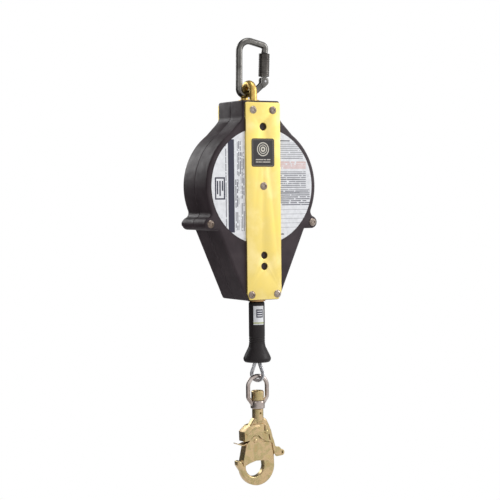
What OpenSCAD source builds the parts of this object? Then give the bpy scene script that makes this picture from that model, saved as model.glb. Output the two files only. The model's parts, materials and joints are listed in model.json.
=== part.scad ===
// Self-retracting lifeline: a sealed wire-rope retractor that hangs from a carabiner by a
// swivel eye and ends in a rubber bumper and a double-locking swivel snap hook.
// Lengths are in mm and +Z is up, with the front towards -Y. The origin is the underside of
// the carabiner's crown, where an anchor bears. Heights are given from the drum's axis.

/* [Housing] */
// Radius of the round body
case_r = 113.3; // [112:0.1:115]
// Front face, from the plane that the object hangs in
case_front = -45; // [-46:0.5:-45]
// Rear face, from the same plane
case_rear = 47; // [47:0.5:49]
// Shell wall
wall = 4; // [3.5:0.1:4.2]
// Half width of the neck
neck_half = 38.5; // [38:0.5:40]
// Top of the neck
neck_top = 153; // [152.5:0.1:153.5]
// Half width of the foot
foot_half = 34; // [34:0.5:36]
// Underside of the foot
foot_z = -205; // [-206:0.1:-204.8]
// Distance of a screw ear's axis from the centre plane
ear_x = 106.3; // [105.5:0.1:107]
// Height of the ears' axes
ear_z = -66.5; // [-68:0.5:-66]
// Radius of an ear
ear_r = 11; // [10.5:0.1:11.5]

/* [Load plates] */
// Width of a load plate
plate_w = 71.2; // [70:0.1:73]
// Thickness of a load plate
plate_t = 4.7; // [4:0.1:5]
// Top edge of the load plates
plate_top = 149.6; // [148:0.1:150]
// Bottom edge of the load plates
plate_foot = -203.6; // [-204:0.1:-203]
// Radius of an empty lower hole
lug_hole_r = 6.5; // [6:0.1:7]
// Height of the upper of the two lower holes
lug_z = -124; // [-125:1:-123]
// Spacing of the two lower holes
lug_pitch = 20; // [19:1:21]

/* [Lifeline] */
// Diameter of the wire rope
rope_d = 4.8; // [4.5:0.1:4.8]
// Depth of the lifeline's axis
line_y = -20.25; // [-20.5:0.05:-20]
// Radius of the drum's hub
hub_r = 45; // [44:0.5:46]
// Radius of the drum's flanges
flange_r = 86; // [84:0.5:86.5]
// Radius of the bumper's sleeve
bumper_r = 14.5; // [14:0.1:15]
// Radius of the bumper's flare
bumper_flare_r = 25.2; // [24:0.1:26]

/* [Carabiner] */
// Diameter of the carabiner's rod
rod_d = 12; // [11.5:0.1:12]
// Radius of the locking sleeve
sleeve_r = 10; // [9.5:0.1:10.2]

/* [Snap hook] */
// Thickness of the hook's forging
hook_t = 14; // [13:0.5:14]
// Outer radius of the bowl
bowl_r = 35; // [34.5:0.1:35.5]
// Inner radius of the bowl
throat_r = 19; // [18:0.1:19.5]

/* [Hidden] */
$fn = 72;

gold = "#e8cf72";
brass = "#b09360";
steel = "#8f9094";
dark_steel = "#55575c";
shell_black = "#3c3037";
rubber = "#1b1b1d";
paper = "#eceef0";
bronze = "#9a6b3c";
lining = "#5b4a3a";

drum_drop = 257.5;        // drum axis below the carabiner's crown
run = 0.06;               // radial clearance of a running fit
gap = 0.3;                // clearance between faces that pass each other
seam_y = (case_front + case_rear) / 2;
gasket_t = 1;

// Load plates: screws, and the holes left open
top_screw_x = 20.3;
top_screw_z = 135.7;
foot_screw_x = 26.6;
foot_screw_z = -194.3;
crown_hole_z = 106;
crown_hole_r = 7;
screw_shank_r = 4;
screw_head_r = 7;

// Drum stack, front to back
shaft_r = 10;
bush_r = 13;
flange_t = 3;
spool_y = -39.5;
coil_y = [spool_y + flange_t, -4];
flange_y = [-4, -1];
coil_r = hub_r + 5 * 0.87 * rope_d + 0.7 * rope_d;
lead_r = coil_r + rope_d / 2 + gap;
pawl_y = [1.8, 6.3];
brake_y = [-0.2, 6.5];
lining_t = 2.2;
brake_r = 98.4;
brake_bolt_ring = 102.3;
spring_y = [16, 36];
spring_case_y = [14.5, 39.5];
spring_case_r = 80;

// Overspeed brake: one tooth every 30 degrees, three pawls
teeth = 12;
tooth_tip_r = 64.5;
tooth_root_r = 71;
tooth_face = 26.5;
pawl_ring = 50;

// Swivel eye
eye_z = 185;
eye_half = 15.5;
eye_foot_z = neck_top + 0.5;
eye_wire_r = 7;
shank_r = 9;
nut_z = 107;

// Carabiner: hinge and nose of the gate, in X and Z
gate_hinge = [31.6, 191];
gate_nose = [33.6, 242];
gate_lean = atan((gate_nose.x - gate_hinge.x) / (gate_nose.y - gate_hinge.y));

// Lifeline end
bumper_top = -208.4;
bumper_foot = -318.3;
ferrule_z = [-292, -262];
eye_c = -340.7;
eye_r = 12.6;
eye_turn = -60;           // the thimble's plane, turned from the front about the lifeline
bail_z = -344.3;
bail_half = 19.8;
bail_wire_r = 3.8;
stud_r = 7;

// Snap hook, in X and Z
bowl_c = [-4, -508];
throat_c = [-10, -507];
gate_pivot = [-10, -461];
lock_pivot = [12, -446];
rivet_r = 3;
sheet_t = 1.6;
cheek_gap = hook_t / 2 + gap;

// ---- Placing and shaping helpers ----

// Lowers a piece from the drum's axis to its place under the anchor
module place() translate([0, 0, -drum_drop]) children();

// Moves to a point of the vertical plane that the object hangs in
module at(p, y = 0) translate([p.x, y, p.y]) children();

// An outline in X and Z, given depth from y0 back to y1
module slab(y0, y1) translate([0, y1, 0]) rotate([90, 0, 0]) linear_extrude(y1 - y0) children();

// A shape turned about the drum's axis, from points of radius and depth
module lathe(points) rotate([-90, 0, 0]) rotate_extrude($fn = 144) polygon(points);

// A shape turned about the lifeline, from points of radius and height
module spin(points) translate([0, line_y, 0]) rotate_extrude() polygon(points);

// A flat ring about the drum's axis
module washer(r_out, r_in, y0, y1) slab(y0, y1) difference() {
    circle(r_out, $fn = 144);
    circle(r_in, $fn = 96);
}

// A bar along the depth
module pin_y(r, y0, y1) slab(y0, y1) circle(r);

// Copies at both sides of the centre plane
module both() for (s = [-1, 1]) scale_x(s) children();
module scale_x(s) if (s > 0) children(); else mirror([1, 0, 0]) children();

// Copies on a circle about the drum's axis, the first one at the top
module around(count, start = 0)
    for (k = [0 : count - 1]) rotate([0, start + 360 * k / count, 0]) children();

function unit(v) = v / norm(v);
function corner_angle(p, i) = acos(unit(p[i - 1] - p[i]) * unit(p[i + 1] - p[i]));
function setback(p, r, i) = i < 1 || i > len(p) - 2 ? 0 : r[i - 1] / tan(corner_angle(p, i) / 2);

// A round bar bent along points of X and Z, with a bend radius at each inner point. Its
// bends are a hair thicker than its straights, which run a little way into them.
module bent_rod(points, bends, r) {
    last = len(points) - 1;
    into = 0.2;
    swell = 0.01;
    for (i = [0 : last - 1]) {
        way = points[i + 1] - points[i];
        start = setback(points, bends, i) - (i == 0 ? 0 : into);
        end = setback(points, bends, i + 1) - (i == last - 1 ? 0 : into);
        at(points[i]) rotate([0, atan2(way.x, way.y), 0])
            translate([0, 0, start]) cylinder(r = r, h = norm(way) - start - end);
    }
    for (i = [1 : last - 1]) {
        u = unit(points[i - 1] - points[i]);
        w = unit(points[i + 1] - points[i]);
        half = corner_angle(points, i) / 2;
        from_centre = -unit(u + w) * bends[i - 1] / sin(half);
        at(points[i] - from_centre) rotate([90, 0, 0])
            rotate([0, 0, atan2(from_centre.y, from_centre.x) - (90 - half)])
                rotate_extrude(angle = 180 - 2 * half) translate([bends[i - 1], 0]) circle(r + swell);
    }
}

// Points of a coil about +Z, and the closed tube of wire along it
function coil_ring(radius, wire, a, z, sides) = [
    for (j = [0 : sides - 1]) let (b = 360 * j / sides)
        [(radius + wire * cos(b)) * cos(a), (radius + wire * cos(b)) * sin(a), z + wire * sin(b)]
];
module coil_spring(radius, wire, turns, height, steps = 14, sides = 6) {
    rings = turns * steps;
    points = [for (i = [0 : rings])
        each coil_ring(radius, wire, 360 * i / steps, wire + (height - 2 * wire) * i / rings, sides)];
    walls = [for (i = [0 : rings - 1], j = [0 : sides - 1])
        let (k = (j + 1) % sides)
            [i * sides + j, i * sides + k, (i + 1) * sides + k, (i + 1) * sides + j]];
    ends = [[for (j = [sides - 1 : -1 : 0]) j], [for (j = [0 : sides - 1]) rings * sides + j]];
    polyhedron(points, concat([for (w = walls) [w[3], w[2], w[1], w[0]]],
        [for (e = ends) [for (j = [len(e) - 1 : -1 : 0]) e[j]]]));
}

// ---- Outlines ----

// Angle, from straight down, at which the taper leaves the round body
taper = atan(foot_half / -foot_z) + acos(case_r / norm([foot_half, foot_z]));

// The housing's solid between two depths, its outline set in by inset
module case_block(y0, y1, inset = 0) {
    r = case_r - inset;
    side = [sin(taper), -cos(taper)];
    low = foot_z + inset;
    foot = (r - side.y * low) / side.x;
    w = neck_half - inset;
    slab(y0, y1) circle(r, $fn = 144);
    shoulder = [[w, 121], [w + 7, 112.5], [w + 17.5, 102], [w + 29.5, sqrt(r * r - pow(w + 27.5, 2)) - 2]];
    slab(y0, y1) polygon(concat([[-w, neck_top - inset], [w, neck_top - inset]], shoulder,
        [for (i = [3 : -1 : 0]) [-shoulder[i].x, shoulder[i].y]]));
    slab(y0, y1) polygon([r * side, [foot, low], [-foot, low], [-r * side.x, r * side.y]]);
}

// Centre of a fillet circle that touches a circle about the origin and one about c
function fillet_centre(r1, c, r2) = let (
    d = norm(c), a = (r1 * r1 - r2 * r2 + d * d) / (2 * d), h = sqrt(r1 * r1 - a * a), u = c / d
) a * u + h * [-u.y, u.x];

module ear_block(y0, y1) {
    ear = [ear_x, ear_z];
    fillet = 10;
    f = fillet_centre(case_r + fillet, ear, ear_r + fillet);
    slab(y0, y1) circle_at(ear, ear_r);
    slab(y0, y1) polygon([ear - [0, ear_r], [case_r * 0.74, ear_z - ear_r], [case_r * 0.74, ear_z], ear]);
    slab(y0, y1) difference() {
        polygon([ear * 0.85, ear, f, unit(f) * case_r * 0.97]);
        circle_at(f, fillet);
    }
}
module circle_at(c, r) translate(c) circle(r);

module plate_outline() difference() {
    polygon([[-plate_w / 2, plate_top - 3], [-plate_w / 2 + 3, plate_top],
        [plate_w / 2 - 3, plate_top], [plate_w / 2, plate_top - 3],
        [plate_w / 2, plate_foot + 12], [plate_w / 2 - 6, plate_foot],
        [-plate_w / 2 + 6, plate_foot], [-plate_w / 2, plate_foot + 12]]);
    screw_holes(0.1);
    circle(screw_shank_r + 0.1);
    circle_at([0, crown_hole_z], crown_hole_r);
    for (k = [0, 1]) circle_at([0, lug_z - k * lug_pitch], lug_hole_r);
}
module screw_holes(slack) both() {
    circle_at([top_screw_x, top_screw_z], screw_shank_r + slack);
    circle_at([foot_screw_x, foot_screw_z], screw_shank_r + slack);
}

// ---- Fasteners ----

// A domed screw that points down, with its head's underside at the origin
module dome_screw(head_r, head_h, r, length) difference() {
    union() {
        intersection() {
            cylinder(r = head_r, h = head_h);
            translate([0, 0, head_h - 1.6 * head_r]) sphere(1.6 * head_r);
        }
        translate([0, 0, -length]) cylinder(r = r, h = length);
    }
    translate([0, 0, head_h - 1.8]) cylinder(r = head_r * 0.42, h = 5, $fn = 6);
}
module from_front(p, y) at(p, y) rotate([90, 0, 0]) children();
module from_rear(p, y) at(p, y) rotate([-90, 0, 0]) children();
module plate_screw() dome_screw(screw_head_r, 3.4, screw_shank_r, 26);

// ---- Carabiner ----

module carabiner_body() color(dark_steel) place() difference() {
    union() {
        bent_rod([gate_nose, [36, 255.5], [-19, 268], [-20.5, 160.2], [14, 173.2], [30.6, 187]],
            [8, 20, 11, 26], rod_d / 2);
        at(gate_hinge) rotate([90, 0, 0]) cylinder(r = 7.2, h = 13, center = true);
    }
    at(gate_hinge) rotate([90, 0, 0]) {
        cylinder(r = 2, h = 30, center = true);
        cylinder(r = 7.6, h = 6.6, center = true);
    }
    on_gate() translate([0, 0, gate_len - 5]) cylinder(r = sleeve_r, h = 5);
}

// The gate's own axis: +Z from the hinge towards the nose
module on_gate() at(gate_hinge) rotate([0, gate_lean, 0]) children();
gate_len = norm(gate_nose - gate_hinge);

module carabiner_gate() color(dark_steel) place() difference() {
    on_gate() {
        translate([0, 0, 8.4]) cylinder(r = 5.6, h = gate_len - 8.4 - gap);
        rotate([90, 0, 0]) cylinder(r = 5.4, h = 6, center = true);
        translate([-4, -3, 0]) cube([8, 6, 10]);
    }
    at(gate_hinge) rotate([90, 0, 0]) cylinder(r = 2 + run, h = 30, center = true);
    on_gate() translate([0, 0, gate_len - 20]) cylinder(r = 3.6, h = 14);
}

module carabiner_gate_pin() color(steel) place()
    at(gate_hinge) rotate([90, 0, 0]) cylinder(r = 2, h = 14, center = true);

module carabiner_gate_spring() color(steel) place() on_gate()
    translate([0, 0, gate_len - 19.5]) coil_spring(2.7, 0.5, 6, 13);

module carabiner_sleeve() color(dark_steel) place() on_gate() difference() {
    union() {
        translate([0, 0, 9]) cylinder(r = sleeve_r - 1, h = gate_len - 10.4);
        for (k = [0 : 6]) translate([0, 0, 9 + k * 6.1]) rotate_extrude()
            polygon([[6, 0], [sleeve_r - 0.6, 0], [sleeve_r, 0.6], [sleeve_r, 4], [sleeve_r - 0.6, 4.6],
                [6, 4.6]]);
    }
    translate([0, 0, 5]) cylinder(r = 5.6 + run, h = gate_len);
}

// ---- Swivel eye and the block that it turns in ----

module swivel_eye() color(gold) place() {
    rotate([0, 0, 90]) bent_rod([[-eye_half, eye_foot_z], [-eye_half, eye_z], [eye_half, eye_z],
        [eye_half, eye_foot_z]], [eye_half - 1, eye_half - 1], eye_wire_r);
    translate([0, 0, neck_top + gap]) cylinder(r = 19, h = 3);
    translate([0, 0, 145.3]) cylinder(r = 15, h = neck_top - 144);
    translate([0, 0, nut_z - 1]) cylinder(r = shank_r, h = 42);
}

module swivel_block() color(steel) place() difference() {
    translate([-33.5, case_front + wall, 122]) cube([67, case_rear - case_front - 2 * wall, 23]);
    translate([0, 0, 100]) cylinder(r = shank_r + run, h = 60);
    both() from_front([top_screw_x, top_screw_z], case_front + wall + 24)
        cylinder(r = screw_shank_r + 0.1, h = 30);
    both() from_rear([top_screw_x, top_screw_z], case_rear - wall - 24)
        cylinder(r = screw_shank_r + 0.1, h = 30);
}

module swivel_washer() color(bronze) place() translate([0, 0, 118.9]) difference() {
    cylinder(r = 16, h = 2.8);
    translate([0, 0, -1]) cylinder(r = shank_r + run, h = 6);
}

module swivel_nut() color(steel) place() translate([0, 0, nut_z]) difference() {
    cylinder(r = 15, h = 11.6, $fn = 6);
    translate([0, 0, -1]) cylinder(r = shank_r, h = 20);
}

// ---- Load plates and their fasteners ----

module front_plate() color(gold) place() slab(case_front - plate_t, case_front) plate_outline();
module rear_plate() color(gold) place() slab(case_rear, case_rear + plate_t) plate_outline();

module front_plate_screws() color(steel) place() both() {
    from_front([top_screw_x, top_screw_z], case_front - plate_t) plate_screw();
    from_front([foot_screw_x, foot_screw_z], case_front - plate_t) plate_screw();
}
module rear_plate_screws() color(steel) place() both() {
    from_rear([top_screw_x, top_screw_z], case_rear + plate_t) plate_screw();
    from_rear([foot_screw_x, foot_screw_z], case_rear + plate_t) plate_screw();
}
module shaft_screws() color(steel) place() {
    from_front([0, 0], case_front - plate_t) plate_screw();
    from_rear([0, 0], case_rear + plate_t) plate_screw();
}

// ---- Shells ----

// One half of the housing: solid from y0 to y1, hollow from h0 to h1
module shell_half(y0, y1, h0, h1) difference() {
    union() {
        case_block(y0, y1);
        both() ear_block(y0, y1);
    }
    case_block(h0, h1, wall);
    slab(y0 - 1, y1 + 1) both() circle_at([ear_x, ear_z], screw_shank_r + 0.2);
    slab(y0 - 1, y1 + 1) circle(shaft_r + 0.2);
    slab(y0 - 1, y1 + 1) screw_holes(0.2);
    translate([0, 0, 140]) cylinder(r = 18.5, h = 30);
    translate([0, line_y, foot_z - 5]) cylinder(r = 12.2, h = 20);
}
module front_shell() color(shell_black) place()
    shell_half(case_front, seam_y - gasket_t / 2, case_front + wall, seam_y + 5);
module rear_shell() color(shell_black) place()
    shell_half(seam_y + gasket_t / 2, case_rear, seam_y - 5, case_rear - wall);

module shell_gasket() color(rubber) place() difference() {
    case_block(seam_y - gasket_t / 2, seam_y + gasket_t / 2, 0.6);
    case_block(seam_y - gasket_t, seam_y + gasket_t, wall - 0.5);
    translate([0, 0, 140]) cylinder(r = 18.5, h = 30);
}

module ear_screws() color(steel) place() both()
    from_front([ear_x, ear_z], case_front) dome_screw(7, 4, screw_shank_r, case_rear - case_front + 6);
module ear_nuts() color(steel) place() both() from_rear([ear_x, ear_z], case_rear) difference() {
    cylinder(r = 8, h = 5.5, $fn = 6);
    translate([0, 0, -1]) cylinder(r = screw_shank_r + run, h = 8);
}

module face_label(y0, y1) slab(y0, y1) difference() {
    circle(case_r - 9.1, $fn = 144);
    square([plate_w + 0.2, 3 * case_r], center = true);
}
module front_label() color(paper) place() face_label(case_front - 0.5, case_front);
module rear_label() color(paper) place() face_label(case_rear, case_rear + 0.5);
module plate_label() color(rubber) place()
    slab(case_front - plate_t - 0.4, case_front - plate_t) translate([-1, 59.7]) rounded(47, 50.5, 4);
module rounded(w, h, r) {
    square([w - 2 * r, h], center = true);
    square([w, h - 2 * r], center = true);
    for (x = [-1, 1], y = [-1, 1]) circle_at([x * (w / 2 - r), y * (h / 2 - r)], r);
}

// ---- Cable outlet ----

module outlet_block() color(steel) place() difference() {
    intersection() {
        case_block(case_front + wall, case_rear - wall, wall + 0.2);
        translate([-60, case_front, foot_z]) cube([120, case_rear - case_front, 24]);
    }
    translate([0, line_y, foot_z - 5]) cylinder(r = 12.1, h = 60);
    both() from_front([foot_screw_x, foot_screw_z], case_front + wall + 24)
        cylinder(r = screw_shank_r + 0.1, h = 30);
    both() from_rear([foot_screw_x, foot_screw_z], case_rear - wall - 24)
        cylinder(r = screw_shank_r + 0.1, h = 30);
}
module outlet_bush() color(bronze) place() spin([[9.5, -176], [5.5, -179], [3.2, -186],
    [3.2, -201], [5, -206.5], [8, foot_z - 3], [16, foot_z - 3], [16, foot_z - 0.1],
    [12, foot_z - 0.1], [12, -176]]);

// ---- Shaft and drum ----

module main_shaft() color(steel) place() difference() {
    pin_y(shaft_r, case_front, case_rear);
    pin_y(screw_shank_r + 0.1, case_front - 1, case_front + 24);
    pin_y(screw_shank_r + 0.1, case_rear - 24, case_rear + 1);
}

module drum_spool() color(steel) place() difference() {
    lathe([[bush_r, spool_y], [flange_r, spool_y], [flange_r, coil_y[0]], [hub_r, coil_y[0]],
        [hub_r, coil_y[1]], [hub_r - 5, coil_y[1]], [hub_r - 5, coil_y[0] + 3], [18, coil_y[0] + 3],
        [18, flange_y[1]], [bush_r, flange_y[1]]]);
    rotate([0, 40, 0]) translate([0, line_y, hub_r - 6]) cylinder(r = 4, h = 10);
    around(6, 30) translate([0, 0, 68]) pin_y(9, spool_y - 1, coil_y[0] + 1);
}
module drum_flange() color(steel) place() difference() {
    washer(flange_r, 18.05, flange_y[0], flange_y[1]);
    around(6) translate([0, 0, 30]) pin_y(2.6, flange_y[0] - 1, flange_y[1] + 1);
    around(3) translate([0, 0, pawl_ring]) pin_y(3, flange_y[0] - 1, flange_y[1] + 1);
}
module drum_screws() color(steel) place() around(6)
    from_rear([0, 30], flange_y[1]) dome_screw(4.2, 2.2, 2.5, 12);
module drum_bushes() color(bronze) place() {
    washer(bush_r, shaft_r + run, spool_y, spool_y + 11);
    washer(bush_r, shaft_r + run, flange_y[1] - 11, flange_y[1]);
}

// The wound rope: six layers as one ring, with the top layer's turns showing
module lifeline_coil() color(steel) place() rotate([-90, 0, 0]) rotate_extrude($fn = 144) {
    turns = 6;
    pitch = (coil_y[1] - coil_y[0] - 0.6) / turns;
    translate([hub_r + 0.1, coil_y[0] + 0.3]) square([coil_r - rope_d / 2 - hub_r, turns * pitch]);
    for (k = [0 : turns - 1])
        circle_at([coil_r - rope_d / 2, coil_y[0] + 0.3 + (k + 0.5) * pitch], rope_d / 2);
}

// The rope's straight run from the drum to the outlet
lead_bend = [0, -178];
lead_angle = acos(lead_r / -lead_bend.y);
module lifeline_lead() color(steel) place() translate([0, line_y, 0])
    bent_rod([lead_r * [sin(lead_angle), -cos(lead_angle)], lead_bend, [0, foot_z - 2.4]], [24], rope_d / 2);

module lifeline_anchor() color(bronze) place() rotate([0, 40, 0]) translate([0, line_y, hub_r - 12])
    difference() {
        cylinder(r = 6, h = 6.6);
        translate([0, 0, 3]) cylinder(r = 2.5, h = 5);
    }

// ---- Rewind spring ----

module motor_spring() color(dark_steel) place() slab(spring_y[0], spring_y[1]) {
    turns = 11;
    steps = 20;
    pitch = 4.9;
    strip = 1.4;
    start = 18.5;
    spiral = [for (i = [0 : turns * steps]) [start + pitch * i / steps, 360 * i / steps]];
    polygon(concat(
        [for (p = spiral) (p[0] + strip) * [cos(p[1]), sin(p[1])]],
        [for (i = [len(spiral) - 1 : -1 : 0]) spiral[i][0] * [cos(spiral[i][1]), sin(spiral[i][1])]]));
}
module spring_case() color(steel) place() lathe([[shaft_r + 0.2, spring_case_y[1] - 2],
    [shaft_r + 0.2, spring_case_y[1]], [spring_case_r, spring_case_y[1]],
    [spring_case_r, spring_case_y[0]], [spring_case_r - 3, spring_case_y[0]],
    [spring_case_r - 3, spring_case_y[1] - 2]]);
module spring_cover() color(steel) place()
    washer(spring_case_r, 20, spring_case_y[0] - 2, spring_case_y[0]);
module spring_arbor() color(dark_steel) place() lathe([[shaft_r + 0.3, flange_y[1]],
    [25, flange_y[1]], [25, flange_y[1] + 2.5], [18, flange_y[1] + 2.5], [18, 37], [shaft_r + 0.3, 37]]);

// ---- Overspeed brake ----

// A point at a radius and a clockwise angle from the top, as seen from the front
function clock(r, a) = r * [sin(a), cos(a)];

module brake_ring() color(dark_steel) place() slab(brake_y[0], brake_y[1]) difference() {
    circle(brake_r, $fn = 144);
    polygon([for (k = [0 : teeth - 1]) let (a = tooth_face + 360 * (k - 1) / teeth)
        for (i = [0 : 3]) clock(tooth_tip_r + (tooth_root_r - tooth_tip_r) * i / 3, a + 0.2 + 29.6 * i / 3)]);
}
module brake_linings() color(lining) place() {
    washer(brake_r, 88.5, brake_y[0] - 0.1 - lining_t, brake_y[0] - 0.1);
    washer(brake_r, 88.5, brake_y[1] + 0.1, brake_y[1] + 0.1 + lining_t);
}
press_y = brake_y[0] - 0.1 - lining_t;
back_y = brake_y[1] + 0.1 + lining_t;
module bolt_holes(r) around(6, 15) translate([0, 0, brake_bolt_ring]) pin_y(r, -30, 30);
// Room under the swivel nut
module nut_notch() translate([-22, -30, nut_z - 2.5]) cube([44, 60, 20]);
module brake_pressure_ring() color(steel) place() difference() {
    washer(brake_bolt_ring + 4.2, 88.5, press_y - 2.5, press_y);
    bolt_holes(3.2);
    nut_notch();
}
module brake_back_plate() color(steel) place() difference() {
    washer(case_r - wall - 0.3, 27, back_y, back_y + 2.5);
    bolt_holes(3.2);
    nut_notch();
}
module brake_bolts() color(dark_steel) place() around(6, 15) translate([0, 0, brake_bolt_ring]) {
    pin_y(3, press_y - 5.5, back_y + 5.8);
    slab(press_y - 8.5, press_y - 5.5) circle(5, $fn = 6);
    slab(back_y + 2.5, back_y + 5.5) difference() {
        circle(5, $fn = 6);
        circle(3 + run);
    }
}
module brake_spring_washers() color(steel) place() around(6, 15)
    translate([0, 0, brake_bolt_ring]) lathe([[3.2, press_y - 4.6], [3.2, press_y - 5.4],
        [5.4, press_y - 3.4], [5.4, press_y - 2.6]]);

// A pawl on its pivot, at the top of the drum
module pawl() translate([0, 0, pawl_ring]) slab(pawl_y[0], pawl_y[1]) difference() {
    union() {
        circle(6);
        polygon([[0, 6], [-2, -5.6], [18, -7], [29.5, -1], [29.6, 3], [27, 5.5]]);
    }
    circle(3 + run);
}
module pawl_a() color(dark_steel) place() pawl();
module pawl_b() color(dark_steel) place() rotate([0, 120, 0]) pawl();
module pawl_c() color(dark_steel) place() rotate([0, 240, 0]) pawl();
module pawl_pins() color(steel) place() around(3)
    translate([0, 0, pawl_ring]) pin_y(3, flange_y[0] + 0.5, pawl_y[1] + 1.2);
module pawl_springs() color(steel) place() around(3)
    translate([0, flange_y[1] + 0.05, pawl_ring]) rotate([-90, 0, 0]) coil_spring(3.9, 0.4, 2, 2.6);

// ---- Lifeline end ----

module bumper() color(rubber) place() spin([[2.8, bumper_top], [12, bumper_top],
    [bumper_r, bumper_top - 2.5], [bumper_r, -286], [bumper_r + 1, -290], [17.5, -295],
    [bumper_flare_r - 1.5, -307], [bumper_flare_r, -311], [bumper_flare_r - 0.6, -315.5],
    [bumper_flare_r - 3, bumper_foot], [18, bumper_foot], [12, -304], [10, -292], [10, -236],
    [2.8, -230]]);
module bumper_label() color(paper) place() translate([0, line_y, 0]) rotate([0, 0, -144])
    rotate_extrude(angle = 78) translate([bumper_r + 0.05, -250]) square([0.35, 34]);
module lifeline_run() color(steel) place()
    translate([0, line_y, ferrule_z[1]]) cylinder(r = rope_d / 2, h = foot_z - 3 - ferrule_z[1]);
module ferrule() color(steel) place() spin([[0, ferrule_z[0]], [6, ferrule_z[0]],
    [7.2, ferrule_z[0] + 2], [7.2, ferrule_z[1] - 2], [6, ferrule_z[1]], [0, ferrule_z[1]]]);

// The rope's eye: two legs from the ferrule, opening round the thimble
leg_x = 2.7;
leg_kink = -312;
eye_side = atan(leg_x / (leg_kink - eye_c)) + acos(eye_r / norm([leg_x, leg_kink - eye_c]));
eye_foot = leg_x + (leg_kink - eye_c + eye_r) / tan(eye_side);
module rope_eye(r) bent_rod([[-leg_x, ferrule_z[0]], [-leg_x, leg_kink], [-eye_foot, eye_c - eye_r],
    [eye_foot, eye_c - eye_r], [leg_x, leg_kink], [leg_x, ferrule_z[0]]],
    [18, eye_r - 0.5, eye_r - 0.5, 18], r);
module eye_plane() translate([0, line_y, 0]) rotate([0, 0, eye_turn]) children();
module teardrop(r, apex) {
    a = acos(r / (apex - eye_c));
    circle_at([0, eye_c], r);
    polygon([[r * sin(a), eye_c + r * cos(a)], [0, apex], [-r * sin(a), eye_c + r * cos(a)]]);
}
module lifeline_eye() color(steel) place() eye_plane() rope_eye(rope_d / 2);
module thimble() color(steel) place() eye_plane() difference() {
    slab(-3.4, 3.4) difference() {
        teardrop(12, leg_kink - 1);
        teardrop(9, leg_kink - 8);
    }
    rope_eye(rope_d / 2 + 0.05);
    translate([0, 0, leg_kink]) cube([30, 30, 14], center = true);
}

module swivel_bail() color(steel) place() translate([0, line_y, 0]) difference() {
    union() {
        bent_rod([[-9, -397], [-bail_half, -383], [-bail_half, bail_z], [bail_half, bail_z],
            [bail_half, -383], [9, -397]], [9, bail_half - 1, bail_half - 1, 9], bail_wire_r);
        translate([0, 0, -403]) cylinder(r = 13, h = 14.6);
    }
    translate([0, 0, -405]) cylinder(r = stud_r + run, h = 30);
    translate([0, 0, -388.4]) cylinder(r = 12.2, h = 20);
    translate([0, 0, -420]) cylinder(r = 16, h = 17);
}

// ---- Snap hook ----

module in_hook() place() translate([0, line_y, 0]) children();

module hook_outline() difference() {
    union() {
        circle_at(bowl_c, bowl_r);
        polygon([[-10, -420], [10, -420], [15.5, -424], [20.5, -434], [25.5, -446], [28.5, -458],
            [30, -472], [31, bowl_c.y], [8, bowl_c.y], [5, -482], [-4, -474], [-17, -470],
            [-25, -455], [-23, -438]]);
        polygon([[-38.2, -514], [-46.5, -503], [-46.5, -496], [-41, -494.5], [-28, -507]]);
        circle_at([-43.5, -498.5], 4);
    }
    circle_at(throat_c, throat_r);
    polygon([[-28.7, -504], [-41.5, -493.6], [-30, -478], [-4, -474.1], [5, -482], [9, -508]]);
}
module hook_body() color(brass) in_hook() difference() {
    union() {
        slab(-hook_t / 2, hook_t / 2) hook_outline();
        translate([0, 0, -426]) cylinder(r = 10.3, h = 22.7);
        translate([0, 0, -405]) cylinder(r = stud_r, h = 33);
    }
    at(gate_pivot) pin_hole();
    at(lock_pivot) pin_hole();
    translate([0, 0, -411]) rotate([90, 0, 0]) cylinder(r = 1.7, h = 40, center = true);
    at(gate_pivot) slab(-3, 3) difference() {
        circle(7);
        circle(rivet_r - 1);
    }
}
module pin_hole() rotate([90, 0, 0]) cylinder(r = rivet_r, h = 60, center = true);

module hook_swivel_nut() color(brass) in_hook() difference() {
    rotate_extrude() polygon([[stud_r + 0.02, -388], [11.5, -388], [11.5, -372.5], [9.8, -370.5],
        [stud_r + 0.02, -370.5]]);
    translate([-20, 0, -379]) rotate([0, 90, 0]) cylinder(r = 2.2, h = 13);
}

// Two cheeks that follow an outline, beyond in from the centre plane
module cheeks(in) for (s = [-1, 1]) slab(min(s * in, s * (in + sheet_t)), max(s * in, s * (in + sheet_t)))
    children();

module hook_gate() color(brass) in_hook() difference() {
    union() {
        cheeks(cheek_gap) {
            circle_at(gate_pivot, 9);
            polygon([[-17, -454], [-29, -466], [-36, -498], [-34.5, -506], [-32, -505.5], [-22, -500.5],
                [-9, -497], [4, -497.5], [20, -500], [25.5, -496], [27, -485], [26.5, -466], [-1, -463]]);
        }
        slab(-cheek_gap - 0.1, cheek_gap + 0.1)
            polygon([[-29, -466], [-35.6, -496.4], [-34, -496.4], [-27.4, -466]]);
        slab(-cheek_gap - sheet_t, cheek_gap + sheet_t)
            polygon([[-29, -466], [-27, -466.5], [-36, -469.5], [-46.5, -464.5], [-46, -463], [-36, -467.6]]);
    }
    at(gate_pivot) rotate([90, 0, 0]) cylinder(r = rivet_r + run, h = 60, center = true);
}
module hook_gate_spring() color(steel) in_hook() at(gate_pivot, 2.6) rotate([90, 0, 0])
    coil_spring(5, 0.5, 3, 5.2);

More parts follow.
